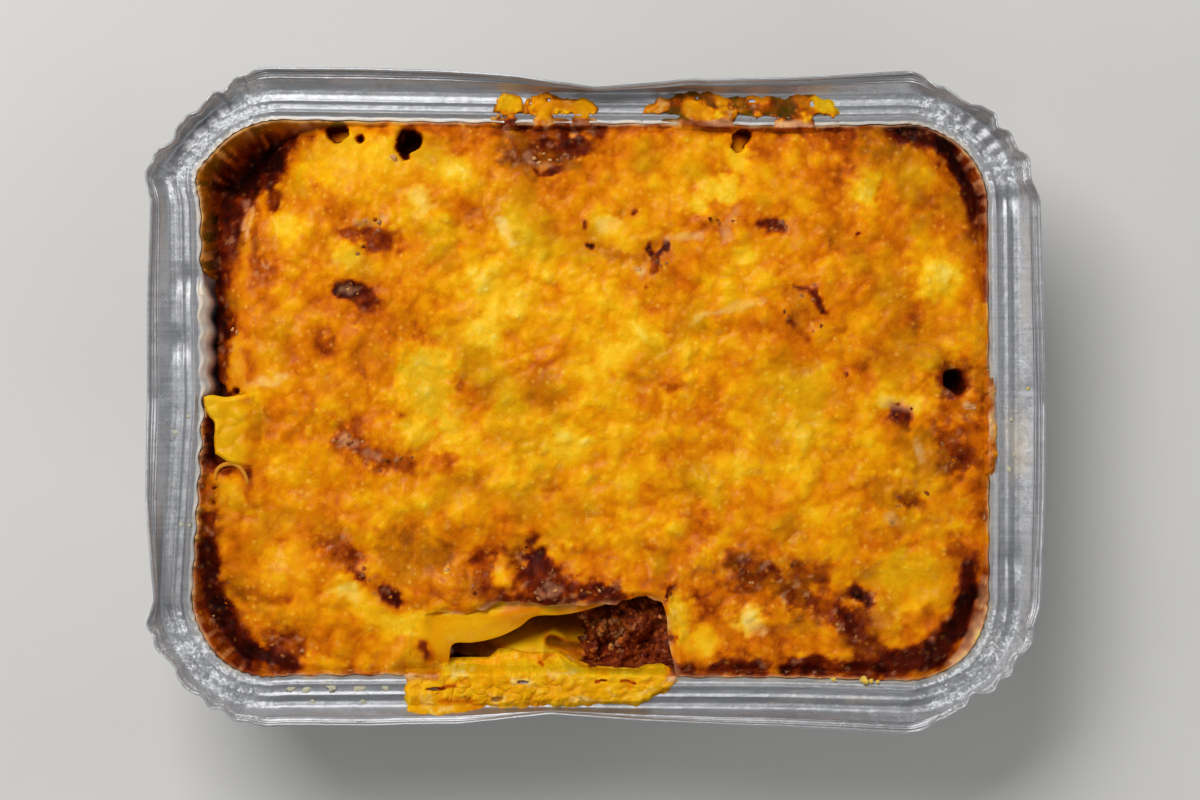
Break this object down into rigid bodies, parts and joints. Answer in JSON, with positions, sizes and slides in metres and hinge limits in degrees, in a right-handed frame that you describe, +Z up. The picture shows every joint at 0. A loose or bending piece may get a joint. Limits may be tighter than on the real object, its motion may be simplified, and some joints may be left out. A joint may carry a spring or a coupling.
{
  "type": "tray of lasagna",
  "caption": "Baked lasagna with a browned cheese crust in a rectangular foil tray with a flared, dented rim.",
  "frame": {"origin": "on the table, under the middle of the tray's outer rim", "axes": "+X along the tray's long side, +Y towards its back, +Z up out of the tray"},
  "size_m": [0.19, 0.1404, 0.0413],
  "materials": {
    "foil": "bright rolled foil, creased at the corners, with baked-on brown film inside",
    "meat_sauce": "cooked mince in dark red-brown sauce, moist",
    "cooked_pasta": "cooked egg pasta, smooth and moist",
    "baked_cheese": "melted cheese, golden yellow to orange with brown and charred patches, oily"
  },
  "bodies": {
    "root": {"foil_tray": "foil", "meat_sauce_lower": "meat_sauce", "pasta_sheet_lower": "cooked_pasta", "meat_sauce_upper": "meat_sauce", "pasta_sheet_upper": "cooked_pasta", "cheese_crust": "baked_cheese"}
  },
  "joints": []
}
